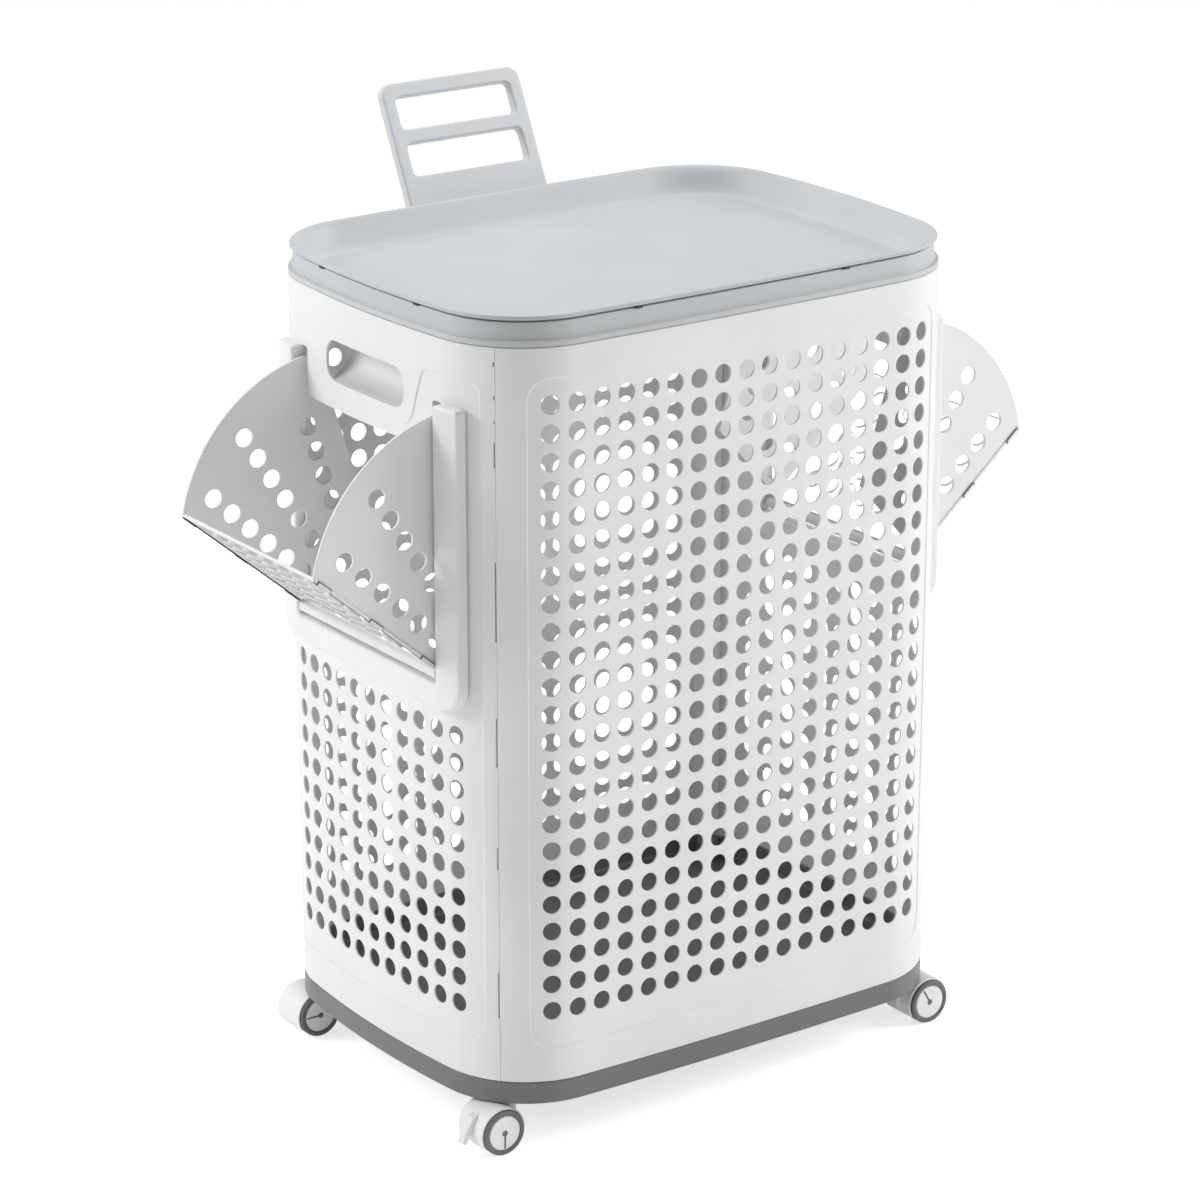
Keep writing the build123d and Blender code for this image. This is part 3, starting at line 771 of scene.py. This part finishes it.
def handle():
    """Slotted pull plate with a round foot on its pin."""
    outline = rounded((-handle_half, 3, 1), (handle_half, 3, 1), (handle_half, handle_length, 12),
                      (-handle_half, handle_length, 12), steps=10)
    slots = [box_outline(slot_length / 2, v - slot_height / 2, v + slot_height / 2, 5)[::-1]
             for v in slot_places]
    shape = Shape()
    plate(shape, outline, slots, handle_thickness, on_handle, radius=2.4, steps=5)
    foot = [(3.2, -handle_half), (4.4, -handle_half), (5, 0.6 - handle_half), (5, handle_half - 0.6),
            (4.4, handle_half), (3.2, handle_half)]
    lathe(shape, foot, lambda y, x, z: (pin + Vector((x, y, z))) * mm, count=32)
    return piece("handle_shell", shape, "handle", handle_grey, ("handle_plate",))


handle()

# ---- casters ------------------------------------------------------------------------------
wheel_radius, tyre_inner = 20.0, 15.5
wheel_inner, wheel_outer = 7.2, 20.4
hood_half, web_half, hood_inner, hood_radius = 17.5, 6.6, 20.6, 22.0
skirt_angle = radians(30)


def caster(corner, braked, mark_angle):
    """Hood, tyres, hubs and hub marks of one caster."""
    stem_low, stem_high = node_box(f"caster_{corner}_stem")
    axle_low, axle_high = node_box(f"caster_{corner}_axle")
    stem = (stem_low + stem_high) / 2
    axle = (axle_low + axle_high) / 2
    body = f"caster_{corner}_swivel"

    def round_axle(x, y, z):
        return (axle + Vector((x, y, z))) * mm

    boss_top = base_low.z - 0.6
    shape = Shape()
    section = [(hood_inner, -hood_half), (hood_radius - 0.8, -hood_half),
               (hood_radius - 0.25, 0.25 - hood_half), (hood_radius, 0.8 - hood_half),
               (hood_radius, hood_half - 0.8), (hood_radius - 0.25, hood_half - 0.25),
               (hood_radius - 0.8, hood_half), (hood_inner, hood_half), (hood_inner, web_half),
               (2, web_half), (2, -web_half), (hood_inner, -web_half)]
    lathe(shape, section, round_axle, -skirt_angle, pi + 2 * skirt_angle, 40)
    boss = [(0.5, 14), (web_half - 0.5, 14), (web_half, 14.6), (web_half, boss_top - 0.8),
            (web_half - 0.8, boss_top), (0.5, boss_top)]
    lathe(shape, boss, lambda x, z, y: Vector((stem.x + x, stem.y + y, z)) * mm)
    piece(f"caster_{corner}_hood_shell", shape, body, caster_white,
          (f"caster_{corner}_hood",))

    for wheel, side in (("a", -1), ("b", 1)):
        # wheel a of the left casters is the one further back, because they are turned round
        outer = side if axle.x > stem.x else -side
        rides = f"caster_{corner}_wheel_{wheel}"

        def along(x, y, z, outer=outer):
            return round_axle(x, y * outer, z)

        tyre = Shape()
        ease = 1.6
        tread = [(tyre_inner, wheel_inner), (wheel_radius - ease, wheel_inner),
                 *arc_points(wheel_radius - ease, wheel_inner + ease, ease, 270, 360),
                 *arc_points(wheel_radius - ease, wheel_outer - ease, ease, 0, 90),
                 (tyre_inner + 0.8, wheel_outer), (tyre_inner, wheel_outer - 0.7)]
        lathe(tyre, tread, along, count=72)
        piece(f"caster_{corner}_tyre_{wheel}_tread", tyre, rides, tyre_grey,
              (f"caster_{corner}_tyre_{wheel}",))

        disc = Shape()
        face = wheel_outer - 0.4
        centre = [(2.7, wheel_inner), (tyre_inner - 0.05, wheel_inner), (tyre_inner - 0.05, face - 0.9),
                  (tyre_inner - 0.5, face - 0.3), (tyre_inner - 1.2, face), (0.2, face), (0.2, face - 2.5),
                  (2.7, face - 2.5)]
        lathe(disc, centre, along, count=72)
        piece(f"caster_{corner}_hub_{wheel}_disc", disc, rides, caster_white,
              (f"caster_{corner}_hub_{wheel}",))

        mark = Shape()
        dot, bar = 2.7, 0.85
        split = 20
        loop = [(dot * cos(a), dot * sin(a)) for a in
                (radians(18.3 + (360 - 36.6) * i / split) for i in range(split + 1))]
        loop += [(tyre_inner - 1.3, -bar), (tyre_inner - 1.3, bar)]
        turn = radians(mark_angle)
        plate(mark, loop, [], 0.5,
              lambda u, v, out=0.0: along(u * cos(turn) - v * sin(turn), face + 0.18 + out,
                                          u * sin(turn) + v * cos(turn)), radius=0.12)
        piece(f"caster_{corner}_hub_{wheel}_mark", mark, rides, mark_grey)
    if braked:
        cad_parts[f"caster_{corner}_brake_lever"].data.materials[0] = caster_white


for corner, braked, mark_angle in (("front_left", True, -90), ("front_right", False, 120),
                                   ("back_left", False, 180), ("back_right", True, 40)):
    caster(corner, braked, mark_angle)

# ---- CAD nodes that stay in view ----------------------------------------------------------
for name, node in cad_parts.items():
    if node.hide_render or "brake_lever" in name:
        continue
    if name == "corner_joiners":
        better = panel_white
    elif name == "handle_bracket":
        better = handle_grey
    else:
        better = steel
    node.data.materials.clear()
    node.data.materials.append(better)

# ---- floor, light and camera --------------------------------------------------------------
floor_mesh = bpy.data.meshes.new("floor")
floor_mesh.from_pydata([(-40, -40, 0), (40, -40, 0), (40, 40, 0), (-40, 40, 0)], [], [(0, 1, 2, 3)])
floor_pale = plastic("floor_pale", (0.9, 0.9, 0.9), 0.8, grain=0.0, mottle=0.0)
# the floor glows white to the eye and throws less of that light back at the hamper
glow = floor_pale.node_tree.nodes.new("ShaderNodeMapRange")
glow.inputs["To Min"].default_value, glow.inputs["To Max"].default_value = 0.18, 0.66
seen = floor_pale.node_tree.nodes.new("ShaderNodeLightPath")
floor_pale.node_tree.links.new(seen.outputs["Is Camera Ray"], glow.inputs["Value"])
floor_pale.node_tree.links.new(glow.outputs["Result"],
                               floor_pale.node_tree.nodes["Principled BSDF"].inputs["Emission Strength"])
floor_pale.node_tree.nodes["Principled BSDF"].inputs["Emission Color"].default_value = (1, 1, 1, 1)
floor_mesh.materials.append(floor_pale)
floor = bpy.data.objects.new("floor", floor_mesh)
bpy.context.scene.collection.objects.link(floor)

world = bpy.data.worlds.new("studio")
world.use_nodes = True
world.node_tree.nodes["Background"].inputs["Color"].default_value = (1, 1, 1, 1)
world.node_tree.nodes["Background"].inputs["Strength"].default_value = 0.30
bpy.context.scene.world = world


def softbox(name, place, target, width, height, power):
    """Rectangular area light aimed at a point."""
    lamp = bpy.data.lights.new(name, "AREA")
    lamp.shape = "RECTANGLE"
    lamp.size, lamp.size_y, lamp.energy = width, height, power
    thing = bpy.data.objects.new(name, lamp)
    thing.location = place
    thing.rotation_mode = "QUATERNION"
    thing.rotation_quaternion = (Vector(target) - Vector(place)).to_track_quat("-Z", "Y")
    bpy.context.scene.collection.objects.link(thing)


waist = Vector((0, middle_y, (panel_low.z + panel_high.z) / 2)) * mm
softbox("key_left", (-2.4, 1.5, 1.8), waist, 1.4, 1.4, 48)
softbox("key_right", (2.6, -1.7, 1.8), waist, 1.4, 1.4, 60)
softbox("top", (0.1, 0.3, 2.6), waist, 1.6, 1.6, 26)

camera = bpy.data.objects.new("camera", bpy.data.cameras.new("camera"))
camera_place = Vector((-2.08378, -2.91372 + middle_y * mm, 1.63950))
camera_aim = Vector((0.54723, 0.77067, -0.32652))
camera.data.lens, camera.data.sensor_width = 130.43, 36.0
camera.location = camera_place
camera.rotation_mode = "QUATERNION"
camera.rotation_quaternion = camera_aim.to_track_quat("-Z", "Y")
bpy.context.scene.collection.objects.link(camera)
bpy.context.scene.camera = camera
bpy.context.scene.view_settings.view_transform = "Standard"
